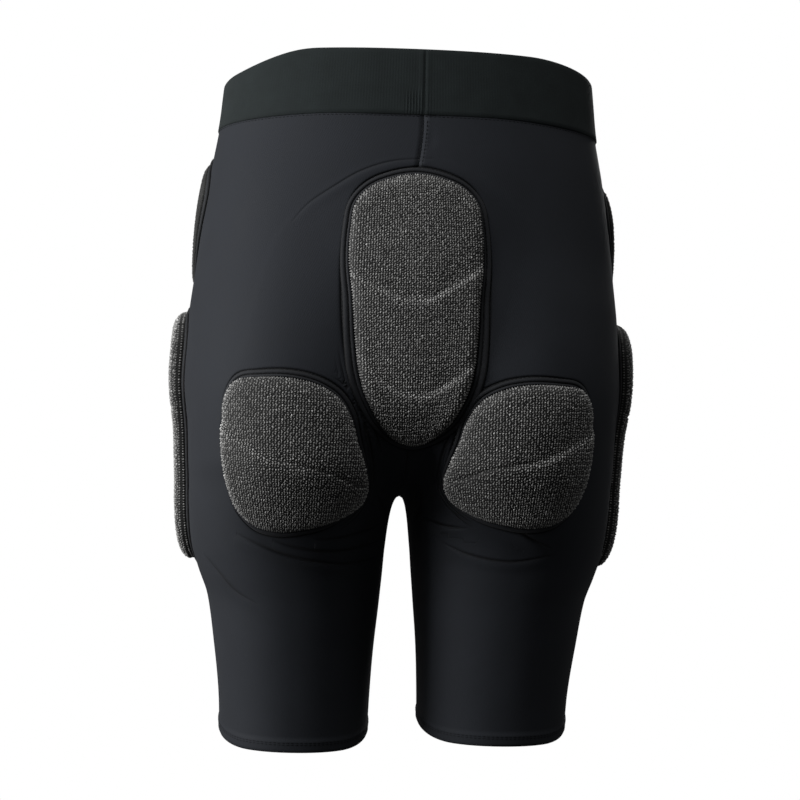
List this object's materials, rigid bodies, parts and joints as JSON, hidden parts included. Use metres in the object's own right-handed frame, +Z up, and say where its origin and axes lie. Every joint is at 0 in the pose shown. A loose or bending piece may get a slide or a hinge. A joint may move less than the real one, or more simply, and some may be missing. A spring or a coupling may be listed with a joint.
{
  "type": "padded hip protection shorts",
  "caption": "Close-fitting sports shorts with a wide elastic waistband and moulded impact pads over the tailbone, seat, hips and thighs, in the form they keep when worn.",
  "frame": {"origin": "centre of the waist opening, level with the middle of the waistband at the back", "axes": "+Z up along the wearer's body, +Y to the wearer's front, +X to the wearer's right. The tail pad and seat pads are at the back, on the -Y side."},
  "size_m": [0.3678, 0.2498, 0.53],
  "materials": {
    "stretch_cloth": "matt charcoal warp-knit stretch cloth",
    "waistband_elastic": "finely ribbed knitted elastic, black with a green cast",
    "border_cloth": "matt black folded binding, top-stitched on both edges",
    "pad_knit": "coarse grey and black looped knit over moulded foam"
  },
  "bodies": {
    "root": {"waistband": "waistband_elastic", "left_leg_panel": "stretch_cloth", "right_leg_panel": "stretch_cloth", "tail_pad": "pad_knit", "tail_pad_border": "border_cloth", "left_seat_pad": "pad_knit", "left_seat_pad_border": "border_cloth", "left_thigh_pad": "pad_knit", "left_thigh_pad_border": "border_cloth", "left_hip_pad": "pad_knit", "left_hip_pad_border": "border_cloth", "right_seat_pad": "pad_knit", "right_seat_pad_border": "border_cloth", "right_thigh_pad": "pad_knit", "right_thigh_pad_border": "border_cloth", "right_hip_pad": "pad_knit", "right_hip_pad_border": "border_cloth"}
  },
  "joints": []
}
